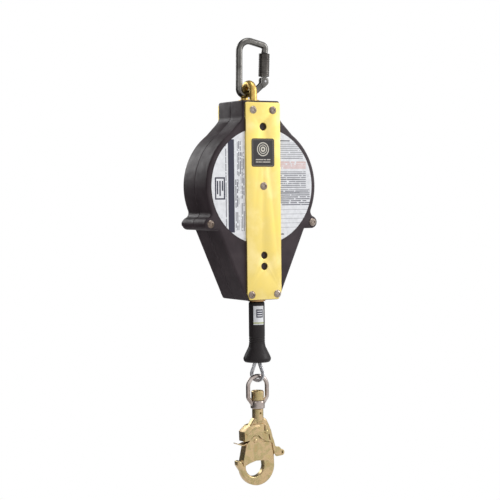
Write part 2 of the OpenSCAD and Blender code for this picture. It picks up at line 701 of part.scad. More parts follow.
lock_in = cheek_gap + sheet_t + gap;
module hook_lock() color(brass) in_hook() difference() {
    union() {
        cheeks(lock_in) {
            difference() {
                polygon([[-34, -443], [-22, -432.5], [-12, -430.5], [9, -430.5], [15, -437], [22, -449],
                    [27.5, -463], [30.5, -474], [39, -475.5], [44, -481], [44, -492], [31, -493],
                    [26.5, -480], [24, -466.5], [12, -463], [2, -458], [-4, -451.5], [-14, -450],
                    [-22, -459], [-33.5, -460.5]]);
                polygon([[7.5, -433], [9.5, -433], [9.5, -444], [7.5, -444]]);
                polygon([[16, -450.5], [18, -450], [20.3, -461.3], [18.3, -461.7]]);
            }
        }
        slab(-lock_in - 0.1, lock_in + 0.1)
            polygon([[-34, -443], [-32.4, -443], [-31.9, -460.4], [-33.5, -460.5]]);
        slab(-lock_in - 0.1, lock_in + 0.1)
            polygon([[-34, -443], [-22, -432.5], [-22.6, -434.6], [-33, -444.5]]);
        slab(-lock_in - 0.1, lock_in + 0.1) {
            polygon([[37, -493.5], [45, -492.5], [45, -490.7], [37, -491.7]]);
            circle_at([45, -486.7], 5.8);
        }
    }
    at(lock_pivot) rotate([90, 0, 0]) cylinder(r = rivet_r + run, h = 60, center = true);
    slab(-60, 60) circle_at([45, -486.7], 2.5);
}

module hook_rivets() color(steel) in_hook() {
    rivet(gate_pivot, cheek_gap + sheet_t, 3.8);
    rivet(lock_pivot, lock_in + sheet_t, 3.6);
    translate([0, 0, -411]) rotate([90, 0, 0]) cylinder(r = 1.65, h = 20, center = true);
}
// A rivet whose heads sit on cheeks that end at half from the centre plane
module rivet(p, half, head_r) at(p) rotate([90, 0, 0]) {
    cylinder(r = rivet_r, h = 2 * half + 0.4, center = true);
    for (s = [0, 1]) mirror([0, 0, s]) translate([0, 0, half + 0.1])
        cylinder(r1 = head_r, r2 = head_r * 0.7, h = 1.1);
}

// ---- Pieces ----

carabiner_body();
carabiner_gate();
carabiner_gate_pin();
carabiner_gate_spring();
carabiner_sleeve();
swivel_eye();
swivel_washer();
swivel_nut();
swivel_block();
front_plate();
rear_plate();
front_plate_screws();
rear_plate_screws();
shaft_screws();
front_shell();
rear_shell();
shell_gasket();
ear_screws();
ear_nuts();
front_label();
rear_label();
plate_label();
outlet_block();
outlet_bush();
main_shaft();
drum_spool();
drum_flange();
drum_screws();
drum_bushes();
lifeline_coil();
lifeline_lead();
lifeline_anchor();
motor_spring();
spring_case();
spring_cover();
spring_arbor();
brake_ring();
brake_linings();
brake_pressure_ring();
brake_back_plate();
brake_bolts();
brake_spring_washers();
pawl_a();
pawl_b();
pawl_c();
pawl_pins();
pawl_springs();
bumper();
bumper_label();
lifeline_run();
lifeline_eye();
ferrule();
thimble();
swivel_bail();
hook_body();
hook_swivel_nut();
hook_gate();
hook_gate_spring();
hook_lock();
hook_rivets();
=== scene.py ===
"""Looks of a self-retracting lifeline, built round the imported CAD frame.

Shapes are given in millimetres about the drum's axis, with X to the right, Y to the back
and Z up. `world` turns a point of them into the frame's metres.
"""

import json
import math

import bmesh
import bpy
from mathutils import Matrix, Vector


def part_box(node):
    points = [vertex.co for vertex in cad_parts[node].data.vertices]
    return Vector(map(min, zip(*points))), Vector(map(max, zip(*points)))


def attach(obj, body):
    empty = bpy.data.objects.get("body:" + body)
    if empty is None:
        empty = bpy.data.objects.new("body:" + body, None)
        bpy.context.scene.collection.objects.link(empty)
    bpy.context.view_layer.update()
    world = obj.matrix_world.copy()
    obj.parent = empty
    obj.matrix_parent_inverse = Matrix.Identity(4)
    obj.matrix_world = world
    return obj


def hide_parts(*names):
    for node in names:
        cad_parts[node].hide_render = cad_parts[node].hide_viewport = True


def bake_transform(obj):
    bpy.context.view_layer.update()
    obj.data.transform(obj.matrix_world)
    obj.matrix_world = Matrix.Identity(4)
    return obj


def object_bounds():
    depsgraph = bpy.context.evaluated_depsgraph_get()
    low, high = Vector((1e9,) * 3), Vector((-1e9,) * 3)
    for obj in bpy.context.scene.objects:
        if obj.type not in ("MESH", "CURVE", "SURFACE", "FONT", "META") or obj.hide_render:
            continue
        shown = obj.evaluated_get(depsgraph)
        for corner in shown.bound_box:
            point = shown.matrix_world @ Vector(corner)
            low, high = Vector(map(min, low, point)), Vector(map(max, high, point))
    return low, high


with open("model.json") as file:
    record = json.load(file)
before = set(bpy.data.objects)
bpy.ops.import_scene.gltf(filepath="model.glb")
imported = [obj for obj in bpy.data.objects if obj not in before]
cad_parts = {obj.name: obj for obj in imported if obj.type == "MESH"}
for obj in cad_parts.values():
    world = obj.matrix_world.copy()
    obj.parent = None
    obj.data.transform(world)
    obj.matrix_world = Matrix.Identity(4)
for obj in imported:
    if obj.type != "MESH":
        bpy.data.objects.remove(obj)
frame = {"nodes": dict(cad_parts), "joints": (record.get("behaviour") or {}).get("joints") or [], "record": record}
cad_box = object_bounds()

MM = 0.001
joints = {joint["name"]: joint for joint in frame["joints"]}
drum_z = joints["drum_spin"]["pos_m"][2]
FRONT = Vector((0, -1, 0))
BACK = Vector((0, 1, 0))


def local(point):
    """A point of the frame, in millimetres about the drum's axis."""
    return Vector((point[0] / MM, point[1] / MM, (point[2] - drum_z) / MM))


class Span:
    """A CAD node's box, in millimetres about the drum's axis."""

    def __init__(self, node):
        self.low, self.high = (local(corner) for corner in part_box(node))
        self.middle = (self.low + self.high) / 2
        self.size = self.high - self.low


def pivot(joint):
    return local(joints[joint]["pos_m"])


# ---- Outlines and paths, as points of X and Z ----


def arc(centre, radius, start, end, steps=24):
    """Points of an arc, from one angle to another, in degrees from +X towards +Z."""
    angles = [math.radians(start + (end - start) * i / steps) for i in range(steps + 1)]
    return [(centre[0] + radius * math.cos(a), centre[1] + radius * math.sin(a)) for a in angles]


def sharp(points):
    """The points as corners that `rounded` leaves as they are."""
    return [(x, z, 0) for x, z in points]


def rounded(corners, radius, steps=5, closed=True):
    """A path with its corners rounded. A corner's third number is a radius of its own."""
    points = []
    last = len(corners) - 1
    for i, corner in enumerate(corners):
        here = Vector(corner[:2])
        bend = corner[2] if len(corner) > 2 else radius
        if bend == 0 or (not closed and i in (0, last)):
            points.append(tuple(here))
            continue
        back = Vector(corners[i - 1][:2]) - here
        ahead = Vector(corners[(i + 1) % (last + 1)][:2]) - here
        half = back.angle(ahead) / 2
        setback = min(bend / math.tan(half), 0.49 * min(back.length, ahead.length))
        bend = setback * math.tan(half)
        centre = here + (back.normalized() + ahead.normalized()).normalized() * bend / math.sin(half)
        start = here + back.normalized() * setback - centre
        end = here + ahead.normalized() * setback - centre
        a = math.atan2(start.y, start.x)
        turn = (math.atan2(end.y, end.x) - a + math.pi) % (2 * math.pi) - math.pi
        for k in range(steps + 1):
            angle = a + turn * k / steps
            points.append((centre.x + bend * math.cos(angle), centre.y + bend * math.sin(angle)))
    return points


def circle(centre, radius, steps=32):
    return arc(centre, radius, 0, 360 * (1 - 1 / steps), steps - 1)


def in_plane(points, y=0.0, turn=0.0, centre=(0, 0)):
    """Points of X and Z as points in space, the plane turned about a vertical line."""
    around = Matrix.Rotation(math.radians(turn), 3, "Z")
    return [around @ Vector((x, 0, z)) + Vector((centre[0], centre[1] + y, 0)) for x, z in points]


# ---- Meshes, in millimetres ----


def loft(path, section, up, scale=None):
    """A section swept along a path: its first number is to the path's side, its second along up."""
    mesh = bmesh.new()
    rings = []
    last = len(path) - 1
    for i, point in enumerate(path):
        before = path[max(i - 1, 0)]
        after = path[min(i + 1, last)]
        along = (after - before).normalized()
        side = up.cross(along).normalized()
        rise = along.cross(side)
        size = scale[i] if scale else 1
        rings.append([mesh.verts.new(point + (side * s + rise * r) * size) for s, r in section])
    for ring, following in zip(rings, rings[1:]):
        for j in range(len(section)):
            k = (j + 1) % len(section)
            mesh.faces.new((ring[j], ring[k], following[k], following[j]))
    mesh.faces.new(rings[0][::-1])
    mesh.faces.new(rings[-1])
    return mesh


def round_section(radius, sides=16):
    return circle((0, 0), radius, sides)


def lathe(profile, place=Matrix(), steps=64):
    """A closed profile of radius and height turned about Z. "hex" as a third item gives it six flats."""
    mesh = bmesh.new()
    rings = []
    for radius, height, *form in profile:
        ring = []
        for i in range(steps):
            angle = 2 * math.pi * i / steps
            flat = math.cos(math.pi / 6) / math.cos(angle % (math.pi / 3) - math.pi / 6)
            reach = radius * flat if form == ["hex"] else radius
            ring.append(mesh.verts.new((reach * math.cos(angle), reach * math.sin(angle), height)))
        rings.append(ring)
    for ring, following in zip(rings, rings[1:] + rings[:1]):
        for j in range(steps):
            k = (j + 1) % steps
            mesh.faces.new((ring[j], ring[k], following[k], following[j]))
    bmesh.ops.transform(mesh, matrix=place, verts=mesh.verts)
    return mesh


def turned(profile, radius=0.6, steps=3):
    """A lathe profile with its corners rounded."""
    return rounded(profile, radius, steps)


def facing(direction, point):
    """Places a shape made along +Z at a point, facing a direction."""
    return Matrix.Translation(point) @ direction.to_track_quat("Z", "X").to_matrix().to_4x4()


def slab(outlines, y0, y1, edge=0.5, steps=3):
    """A flat piece between two depths. Its first outline is outside and the others are holes."""
    curve = bpy.data.curves.new("outline", "CURVE")
    curve.dimensions = "2D"
    curve.fill_mode = "BOTH"
    curve.extrude = (y1 - y0) / 2 - edge
    curve.bevel_depth = edge
    curve.bevel_resolution = steps
    curve.offset = -edge
    for outline in outlines:
        spline = curve.splines.new("POLY")
        spline.points.add(len(outline) - 1)
        for point, (x, z) in zip(spline.points, outline):
            point.co = (x, z, 0, 1)
        spline.use_cyclic_u = True
    holder = bpy.data.objects.new("outline", curve)
    bpy.context.scene.collection.objects.link(holder)
    bpy.context.view_layer.update()
    flat = bpy.data.meshes.new_from_object(holder.evaluated_get(bpy.context.evaluated_depsgraph_get()))
    bpy.data.objects.remove(holder)
    bpy.data.curves.remove(curve)
    mesh = bmesh.new()
    mesh.from_mesh(flat)
    bpy.data.meshes.remove(flat)
    upright = Matrix.Translation((0, (y0 + y1) / 2, 0)) @ Matrix.Rotation(math.pi / 2, 4, "X")
    bmesh.ops.transform(mesh, matrix=upright, verts=mesh.verts)
    return mesh


def cut(mesh, *cutters):
    """A solid with the cutters taken out of it."""
    body = as_object("cut_body", mesh)
    for cutter in cutters:
        tool = as_object("cut_tool", cutter)
        change = body.modifiers.new("cut", "BOOLEAN")
        change.operation = "DIFFERENCE"
        change.solver = "EXACT"
        change.object = tool
        bpy.context.view_layer.update()
        result = bpy.data.meshes.new_from_object(
            body.evaluated_get(bpy.context.evaluated_depsgraph_get()))
        body.modifiers.clear()
        body.data = result
        bpy.data.objects.remove(tool)
    carved = bmesh.new()
    carved.from_mesh(body.data)
    bpy.data.objects.remove(body)
    return carved


def as_object(name, mesh):
    bmesh.ops.remove_doubles(mesh, verts=mesh.verts, dist=0.002)
    bmesh.ops.recalc_face_normals(mesh, faces=mesh.faces)
    data = bpy.data.meshes.new(name)
    mesh.to_mesh(data)
    mesh.free()
    made = bpy.data.objects.new(name, data)
    bpy.context.scene.collection.objects.link(made)
    return made


def piece(name, meshes, finish, body=None, replaces=(), crease=35):
    """A visible piece from meshes in millimetres, in its finish, riding on a body."""
    merged = bmesh.new()
    for mesh in meshes:
        part = as_object(name + "_part", mesh)
        merged.from_mesh(part.data)
        bpy.data.objects.remove(part)
    to_frame = Matrix.Translation((0, 0, drum_z)) @ Matrix.Scale(MM, 4)
    bmesh.ops.transform(merged, matrix=to_frame, verts=merged.verts)
    data = bpy.data.meshes.new(name)
    merged.to_mesh(data)
    merged.free()
    data.shade_smooth()
    data.set_sharp_from_angle(angle=math.radians(crease))
    made = bpy.data.objects.new(name, data)
    bpy.context.scene.collection.objects.link(made)
    made.data.materials.append(finish)
    if body:
        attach(made, body)
    if replaces:
        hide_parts(*replaces)
    return made


# ---- Procedural finishes ----


EDGE_BEND = 0.035  # how far a bevelled normal leaves the true one on a worn edge


class Finish:
    """A procedural material, built node by node on its Principled shader."""

    def __init__(self, name, metallic=0.0, **constants):
        self.material = bpy.data.materials.new(name)
        self.material.use_nodes = True
        self.tree = self.material.node_tree
        self.shader = self.tree.nodes["Principled BSDF"]
        self.shader.inputs["Metallic"].default_value = metallic
        for socket, value in constants.items():
            self.shader.inputs[socket.replace("_", " ")].default_value = value

    def node(self, kind, output, inputs=(), **settings):
        """A node of a kind, with sockets or constants by input name, as one of its outputs."""
        made = self.tree.nodes.new("ShaderNode" + kind)
        for key, value in settings.items():
            setattr(made, key, value)
        for key, value in dict(inputs).items():
            if isinstance(value, bpy.types.NodeSocket):
                self.tree.links.new(value, made.inputs[key])
            else:
                made.inputs[key].default_value = value
        return made.outputs[output]

    def to(self, socket, value):
        self.tree.links.new(value, self.shader.inputs[socket])

    def point(self, stretch=(1, 1, 1)):
        """The object's own coordinates in metres, scaled along each axis."""
        return self.node("Mapping", "Vector", {
            "Vector": self.node("TexCoord", "Object"), "Scale": stretch})

    def noise(self, scale, detail=3.0, stretch=(1, 1, 1)):
        return self.node("TexNoise", "Fac", {
            "Vector": self.point(stretch), "Scale": scale, "Detail": detail, "Roughness": 0.55})

    def math(self, operation, *values):
        return self.node("Math", "Value", dict(enumerate(values)), operation=operation)

    def ramp(self, factor, *stops):
        """Colours or greys at places from 0 to 1."""
        made = self.tree.nodes.new("ShaderNodeValToRGB")
        elements = made.color_ramp.elements
        while len(elements) < len(stops):
            elements.new(0.5)
        for element, (place, colour) in zip(elements, stops):
            element.position = place
            tone = (colour,) * 3 if isinstance(colour, float) else colour
            element.color = (*tone, 1)
        self.tree.links.new(factor, made.inputs["Fac"])
        return made.outputs["Color"]

    def mix(self, factor, a, b):
        made = self.tree.nodes.new("ShaderNodeMix")
        made.data_type = "RGBA"
        for socket, value in ((made.inputs[0], factor), (made.inputs[6], a), (made.inputs[7], b)):
            if isinstance(value, bpy.types.NodeSocket):
                self.tree.links.new(value, socket)
            else:
                socket.default_value = (*value, 1) if isinstance(value, tuple) else value
        return made.outputs[2]

    def edges(self, radius):
        """1 on edges sharper than a radius in metres, 0 on faces."""
        soft = self.node("Bevel", "Normal", {"Radius": radius}, samples=4)
        plain = self.node("NewGeometry", "Normal")
        across = self.node("VectorMath", "Value", {0: soft, 1: plain}, operation="DOT_PRODUCT")
        return self.math("GREATER_THAN", self.math("SUBTRACT", 1.0, across), EDGE_BEND)

    def bump(self, height, distance, strength=1.0, under=None):
        inputs = {"Height": height, "Distance": distance, "Strength": strength}
        if under:
            inputs["Normal"] = under
        return self.node("Bump", "Normal", inputs)


def metal(name, tones, rough=(0.25, 0.4), blotch=55, grain=1400, stretch=(1, 1, 1),
          relief=0.00003, wear=None):
    """Plated or bare metal: cloudy tones, a fine grain, and brighter worn edges."""
    finish = Finish(name, metallic=1.0)
    cloud = finish.noise(blotch, 4.0)
    steps = len(tones) - 1
    colour = finish.ramp(cloud, *[(0.32 + 0.36 * i / steps, tone) for i, tone in enumerate(tones)])
    speck = finish.noise(grain, 2.0, stretch)
    colour = finish.mix(finish.ramp(speck, (0.35, 0.0), (0.75, 0.22)), colour, tones[0])
    if wear:
        scuffs = finish.ramp(finish.noise(260, 4.0), (0.45, 0.0), (0.6, 0.7))
        colour = finish.mix(finish.math("MULTIPLY", finish.edges(0.0008), scuffs), colour, wear)
    finish.to("Base Color", colour)
    smear = finish.noise(blotch * 2.3, 5.0, stretch)
    finish.to("Roughness", finish.ramp(smear, (0.3, rough[0]), (0.7, rough[1])))
    dents = finish.bump(finish.noise(blotch * 3, 3.0), relief * 4, 0.5)
    finish.to("Normal", finish.bump(speck, relief, 0.6, dents))
    return finish.material


def moulded(name, tones, rough=(0.4, 0.6), grain=2600, relief=0.00008, wear=None, **constants):
    """Moulded plastic or rubber: a fine pebbled skin with dusty, scuffed patches."""
    finish = Finish(name, **constants)
    cloud = finish.noise(26, 5.0)
    colour = finish.ramp(cloud, *[(0.35 + 0.3 * i / (len(tones) - 1), tone) for i, tone in enumerate(tones)])
    scratches = finish.noise(420, 3.0, (1, 1, 0.12))
    colour = finish.mix(finish.ramp(scratches, (0.62, 0.0), (0.74, 0.3)), colour, tones[-1])
    if wear:
        scuffs = finish.ramp(finish.noise(180, 5.0), (0.48, 0.0), (0.62, 0.8))
        colour = finish.mix(finish.math("MULTIPLY", finish.edges(0.0012), scuffs), colour, wear)
    finish.to("Base Color", colour)
    finish.to("Roughness", finish.ramp(finish.noise(70, 4.0), (0.3, rough[0]), (0.7, rough[1])))
    pebbles = finish.noise(grain, 2.0)
    finish.to("Normal", finish.bump(pebbles, relief, 0.7, finish.bump(cloud, 0.0006, 0.25)))
    return finish.material


class Print(Finish):
    """A printed label: blocks, frames and rows of dashes on a plain ground."""

    def __init__(self, name, ground, mirrored=False):
        super().__init__(name, Roughness=0.38)
        parts = self.node("SeparateXYZ", "X", {"Vector": self.point()}).node
        side = -1.0 if mirrored else 1.0
        self.x = self.math("MULTIPLY", parts.outputs["X"], side / MM)
        self.z = self.math("DIVIDE", self.math("SUBTRACT", parts.outputs["Z"], drum_z), MM)
        dirt = self.noise(130, 5.0)
        dusty = tuple(channel * 0.86 for channel in ground)
        self.colour = self.ramp(dirt, (0.35, dusty), (0.6, ground))

    def block(self, left, right, low, high):
        across = self.math("COMPARE", self.x, (left + right) / 2, abs(right - left) / 2)
        upright = self.math("COMPARE", self.z, (low + high) / 2, abs(high - low) / 2)
        return self.math("MULTIPLY", across, upright)

    def dashes(self, across, along, pitch, fill, word, seed, share=0.45):
        """Rows that step along one way, broken into dashes of about a word's length."""
        place = self.math("DIVIDE", along, pitch)
        row = self.math("FLOOR", place)
        line = self.math("LESS_THAN", self.math("FRACT", place), fill)
        spot = self.node("CombineXYZ", "Vector", {
            "X": self.math("DIVIDE", across, word), "Y": self.math("MULTIPLY", row, 5.3), "Z": seed})
        words = self.node("TexNoise", "Fac", {"Vector": spot, "Scale": 1.0, "Detail": 1.0})
        return self.math("MULTIPLY", line, self.math("GREATER_THAN", words, share))

    def ink(self, mask, colour, strength=1.0):
        self.colour = self.mix(self.math("MULTIPLY", mask, strength), self.colour, colour)

    def frame(self, left, right, low, high, line, colour):
        inner = self.block(left + line, right - line, low + line, high - line)
        self.ink(self.math("SUBTRACT", self.block(left, right, low, high), inner), colour)

    def done(self):
        self.to("Base Color", self.colour)
        self.to("Normal", self.bump(self.noise(900, 2.0), 0.00002, 0.5))
        return self.material


NAVY = (0.018, 0.018, 0.045)
INK = (0.04, 0.04, 0.05)
GREY_INK = (0.10, 0.10, 0.13)
RED_INK = (0.58, 0.22, 0.16)
WHITE = (0.76, 0.77, 0.80)


def face_print(name, mirrored=False):
    """The round faces: a bar and upright columns on the left, rows of notes on the right."""
    label = Print(name, WHITE, mirrored)
    plate_edge = 35.6
    label.ink(label.block(-70.6, -58, -82, 83), NAVY)
    label.frame(-97.5, -77, -23.5, 16, 2.6, NAVY)
    for middle, low in ((-92.3, -14), (-87.2, -17), (-82.1, -8)):
        label.ink(label.block(middle - 1.4, middle + 1.4, low, 9.5), NAVY)
    column = label.dashes(label.z, label.x, 3.3, 0.6, 6.0, 1.0, 0.42)
    for left, low, high, strength in ((-56, -78, -46, 0.8), (-56, -38, 12, 1.0), (-52, 18, 80, 0.9),
                                      (-45, -80, -30, 0.7), (-45, -22, 60, 0.8)):
        area = label.block(left, left + 7.5, low, high)
        label.ink(label.math("MULTIPLY", column, area), GREY_INK, strength)
    narrow = label.math("MULTIPLY", column, label.block(-76.5, -73, -72, 72))
    label.ink(narrow, GREY_INK, 0.8)
    notes = label.dashes(label.x, label.z, 3.5, 0.52, 6.0, 2.0, 0.36)
    for low, high, right, strength in ((48, 78, 86, 0.55), (-4, 26, 92, 0.8), (-36, -6, 100, 0.95)):
        area = label.block(plate_edge, right, low, high)
        label.ink(label.math("MULTIPLY", notes, area), GREY_INK, strength)
    label.ink(label.math("MULTIPLY", notes, label.block(plate_edge, 92, 30, 45)), RED_INK, 0.7)
    for height in (50, 12, -12):
        label.ink(label.block(plate_edge, 78, height - 0.6, height + 0.6), INK, 0.6)
    for height in (-43, -51, -59, -67, -75):
        label.ink(label.block(plate_edge, 96, height - 0.4, height + 0.4), GREY_INK, 0.6)
    label.ink(label.block(plate_edge, 58, 80.4, 82.2), INK)
    label.ink(label.block(plate_edge, 44, -88, -86), INK)
    return label.done()


def plate_print():
    """The dark badge on the front plate: a thin frame, three rings and rows of dashes."""
    badge = Span("plate_label")
    label = Print("plate_label_print", (0.022, 0.019, 0.021))
    frame_ink = (0.30, 0.26, 0.20)
    label.frame(badge.low.x + 2.2, badge.high.x - 2.2, badge.low.z + 2.2, badge.high.z - 2.2,
                0.5, frame_ink)
    from_x = label.math("SUBTRACT", label.x, badge.middle.x)
    from_z = label.math("SUBTRACT", label.z, badge.middle.z + 6)
    reach = label.math("SQRT", label.math("ADD", label.math("MULTIPLY", from_x, from_x),
                                          label.math("MULTIPLY", from_z, from_z)))
    for radius, line in ((11.5, 0.9), (7.6, 0.7), (3.4, 1.4)):
        label.ink(label.math("COMPARE", reach, radius, line), (0.58, 0.55, 0.48))
    rows = label.dashes(label.x, label.z, 4.2, 0.42, 3.0, 4.0, 0.4)
    area = label.block(badge.middle.x - 15, badge.middle.x + 15, badge.low.z + 5.5, badge.low.z + 14.5)
    label.ink(label.math("MULTIPLY", rows, area), (0.50, 0.47, 0.42))
    return label.done()


def bumper_print():
    """The small tag on the bumper: a framed block over two bars."""
    tag = Span("bumper_label")
    label = Print("bumper_label_print", WHITE)
    middle = tag.low.z + tag.size.z * 0.6
    label.ink(label.math("MULTIPLY", label.math("COMPARE", label.z, middle, 7.5),
                         label.math("COMPARE", label.x, tag.middle.x + 1, 6.2)), NAVY)
    for offset in (-4.2, 0, 4.2):
        label.ink(label.math("MULTIPLY", label.math("COMPARE", label.z, middle + offset, 0.9),
                             label.math("COMPARE", label.x, tag.middle.x + 1, 4.6)), WHITE)
    label.ink(label.math("COMPARE", label.z, tag.low.z + 3.2, 1.4), (0.42, 0.45, 0.20), 0.9)
    return label.done()


GOLD = ((0.86, 0.67, 0.19), (0.82, 0.65, 0.21), (0.90, 0.74, 0.32))
BRASS = ((0.52, 0.37, 0.18), (0.48, 0.40, 0.20), (0.64, 0.46, 0.27), (0.58, 0.46, 0.22))
STEEL = ((0.42, 0.42, 0.44), (0.55, 0.55, 0.57), (0.66, 0.66, 0.68))

finishes = {
    "anchor_steel": metal("anchor_steel", ((0.11, 0.105, 0.10), (0.17, 0.165, 0.155), (0.25, 0.24, 0.225)),
                          (0.14, 0.26), wear=(0.42, 0.41, 0.39)),
    "sleeve_steel": metal("sleeve_steel", ((0.06, 0.055, 0.052), (0.10, 0.092, 0.085), (0.14, 0.13, 0.12)),
                          (0.34, 0.46)),
    "screw_steel": metal("screw_steel", ((0.20, 0.15, 0.12), (0.34, 0.28, 0.24), (0.50, 0.43, 0.38)),
                         (0.22, 0.36)),
    "bright_steel": metal("bright_steel", STEEL, (0.22, 0.36)),
    "eye_gold": metal("eye_gold", ((0.60, 0.38, 0.11), (0.80, 0.56, 0.17), (0.88, 0.66, 0.24)),
                      (0.30, 0.42), blotch=80),
    "plate_gold": metal("plate_gold", GOLD, (0.34, 0.46), stretch=(1, 1, 0.05), blotch=22,
                        relief=0.000012),
    "shell": moulded("shell", ((0.024, 0.015, 0.019), (0.032, 0.021, 0.026), (0.042, 0.029, 0.034)),
                     (0.40, 0.54), wear=(0.10, 0.08, 0.085), Specular_IOR_Level=0.3),
    "rubber": moulded("rubber", ((0.010, 0.007, 0.008), (0.017, 0.013, 0.014)), (0.42, 0.6), relief=0.00005,
                      Specular_IOR_Level=0.3),
    "paper": face_print("front_label_print"),
    "dark_label": plate_print(),
    "bronze": metal("bronze", ((0.40, 0.22, 0.09), (0.52, 0.31, 0.14)), (0.3, 0.45)),
    "wire_rope": metal("wire_rope", STEEL, (0.25, 0.42), grain=2600, stretch=(1, 1, 0.2)),
    "spring_steel": metal("spring_steel", ((0.16, 0.16, 0.19), (0.28, 0.28, 0.30)), (0.25, 0.4)),
    "friction": moulded("friction", ((0.09, 0.06, 0.04), (0.16, 0.12, 0.09)), (0.7, 0.9), grain=900),
    "link_steel": metal("link_steel", ((0.34, 0.28, 0.25), (0.50, 0.43, 0.40), (0.64, 0.58, 0.55)),
                        (0.16, 0.30), wear=(0.76, 0.73, 0.71)),
    "hook_zinc": metal("hook_zinc", BRASS, (0.24, 0.42), blotch=70, wear=(0.72, 0.6, 0.38)),
}
for part in frame["record"]["subparts"]:
    shown = frame["nodes"][part["node"]]
    shown.data.materials.clear()
    shown.data.materials.append(finishes[part["material_slot"]])
frame["nodes"]["rear_label"].data.materials[0] = face_print("rear_label_print", mirrored=True)
frame["nodes"]["bumper_label"].data.materials[0] = bumper_print()

# ---- Housing ----

CASE_R = 113.3
NECK_HALF = 38.5
FOOT_HALF = 34.0
WALL = 4.0
EAR_R = 11.0
HEAD_R = 7.0
front_case = Span("front_shell")
rear_case = Span("rear_shell")
ears = Span("ear_screws")
ear = Vector((ears.high.x - HEAD_R, ears.middle.z))


def case_outline(inset=0.0, with_ears=True):
    """The housing's outline, clockwise from the middle of its foot."""
    radius = CASE_R - inset
    top = front_case.high.z - inset
    low = front_case.low.z + inset
    neck = NECK_HALF - inset
    foot = front_case.low.z
    taper = math.atan2(-foot, FOOT_HALF) - math.acos(CASE_R / math.hypot(FOOT_HALF, foot))
    lean = (math.cos(taper), -math.sin(taper))
    shoulder = math.acos((neck + 27.5) / radius)
    half = [(0, top, 0), (neck, top, 3), (neck, 121, 12), (neck + 7, 112.5, 14), (neck + 17.5, 102, 16),
            (neck + 27.5, radius * math.sin(shoulder), 0)]
    if with_ears:
        fillet = 10 + inset
        reach = EAR_R - inset + fillet
        apart = ear.length
        along = ((radius + fillet) ** 2 - reach ** 2 + apart ** 2) / (2 * apart)
        aside = math.sqrt((radius + fillet) ** 2 - along ** 2)
        hollow = ear.normalized() * along + Vector((-ear.y, ear.x)).normalized() * aside
        body_end = math.degrees(math.atan2(hollow.y, hollow.x))
        ear_start = math.degrees(math.atan2(hollow.y - ear.y, hollow.x - ear.x))
        half += sharp(arc((0, 0), radius, math.degrees(shoulder), body_end, 40)[1:])
        half += sharp(arc(hollow, fillet, body_end + 180, ear_start + 180, 8)[1:-1])
        half += sharp(arc(ear, EAR_R - inset, ear_start, -90, 20))
        under = ear.y - EAR_R + inset
        half.append(((radius - lean[1] * under) / lean[0], under, 3))
    else:
        half += sharp(arc((0, 0), radius, math.degrees(shoulder), -math.degrees(taper), 48)[1:])
    half += [((radius - lean[1] * low) / lean[0], low, 4), (0, low, 0)]
    right = rounded(half, 3, closed=False)
    return right + [(-x, z) for x, z in right[-2:0:-1]]


def shell(y_face, y_seam):
    """Half of the housing: a rounded face edge, a thin wall, and a chamfer at the seam."""
    way = 1 if y_seam > y_face else -1
    turn = 5.0
    levels = [(y_seam, 0.6), (y_seam - way * 0.8, 0.0)]
    for i in range(7):
        angle = math.pi / 2 * i / 6
        levels.append((y_face + way * turn * (1 - math.sin(angle)), turn * (1 - math.cos(angle))))
    mesh = bmesh.new()
    outer = [[mesh.verts.new((x, y, z)) for x, z in case_outline(inset)] for y, inset in levels]
    inner = [[mesh.verts.new((x, y, z)) for x, z in case_outline(WALL, with_ears=False)]
             for y in (y_seam, y_face + way * WALL)]
    for rings in (outer, inner):
        for ring, following in zip(rings, rings[1:]):
            for j in range(len(ring)):
                k = (j + 1) % len(ring)
                mesh.faces.new((ring[j], ring[k], following[k], following[j]))
        mesh.faces.new(rings[-1])
    rim = [edge for edge in mesh.edges if edge.is_boundary]
    bmesh.ops.triangle_fill(mesh, edges=rim, use_beauty=True, use_dissolve=False)
    line = Span("bumper").middle
    swivel = lathe([(0, 140), (18.5, 140), (18.5, 170), (0, 170)], steps=48)
    outlet = lathe([(0, front_case.low.z - 5), (12.2, front_case.low.z - 5), (12.2, front_case.low.z + 15),
                    (0, front_case.low.z + 15)], Matrix.Translation((0, line.y, 0)), steps=48)
    return cut(mesh, swivel, outlet)


piece("front_housing", [shell(front_case.low.y, front_case.high.y)], finishes["shell"],
      "housing", ["front_shell"], crease=30)
piece("rear_housing", [shell(rear_case.high.y, rear_case.low.y)], finishes["shell"],
      "housing", ["rear_shell"], crease=30)

# ---- Load plates and fasteners ----

plate = Span("front_plate")
SCREWS = [(s * x, z) for x, z in ((20.3, 135.7), (26.6, -194.3)) for s in (-1, 1)]


def load_plate(node):
    span = Span(node)
    half = span.high.x
    outline = [(-half, span.high.z, 3), (half, span.high.z, 3), (half, span.low.z + 12, 3),
               (half - 6, span.low.z, 2), (-half + 6, span.low.z, 2), (-half, span.low.z + 12, 3)]
    holes = [circle((0, 106), 7)] + [circle((0, z), 6.5) for z in (-124, -144)]
    return slab([rounded(outline, 3)] + holes, span.low.y, span.high.y, 0.7)


for side in ("front", "rear"):
    piece(side + "_load_plate", [load_plate(side + "_plate")], finishes["plate_gold"],
          "housing", [side + "_plate"])


def button_screw(direction, point, height=3.4):
    """A domed socket screw that faces a direction, with its head's underside at a point."""
    rim, brim = math.radians(62), 0.7
    dome = [(HEAD_R * math.sin(a) / math.sin(rim),
             brim + (height - brim) * (math.cos(a) - math.cos(rim)) / (1 - math.cos(rim)))
            for a in map(math.radians, (62, 54, 46, 38, 31, 27.5))]
    socket, shank = HEAD_R * 0.46, HEAD_R * 0.55
    profile = [(0, -3), (shank, -3), (shank, 0), (HEAD_R, 0)] + dome
    profile += [(socket, height - 0.25), (socket, height - 0.7, "hex"), (socket, height - 1.9, "hex"),
                (0, height - 2.2)]
    return lathe(profile, facing(direction, point))


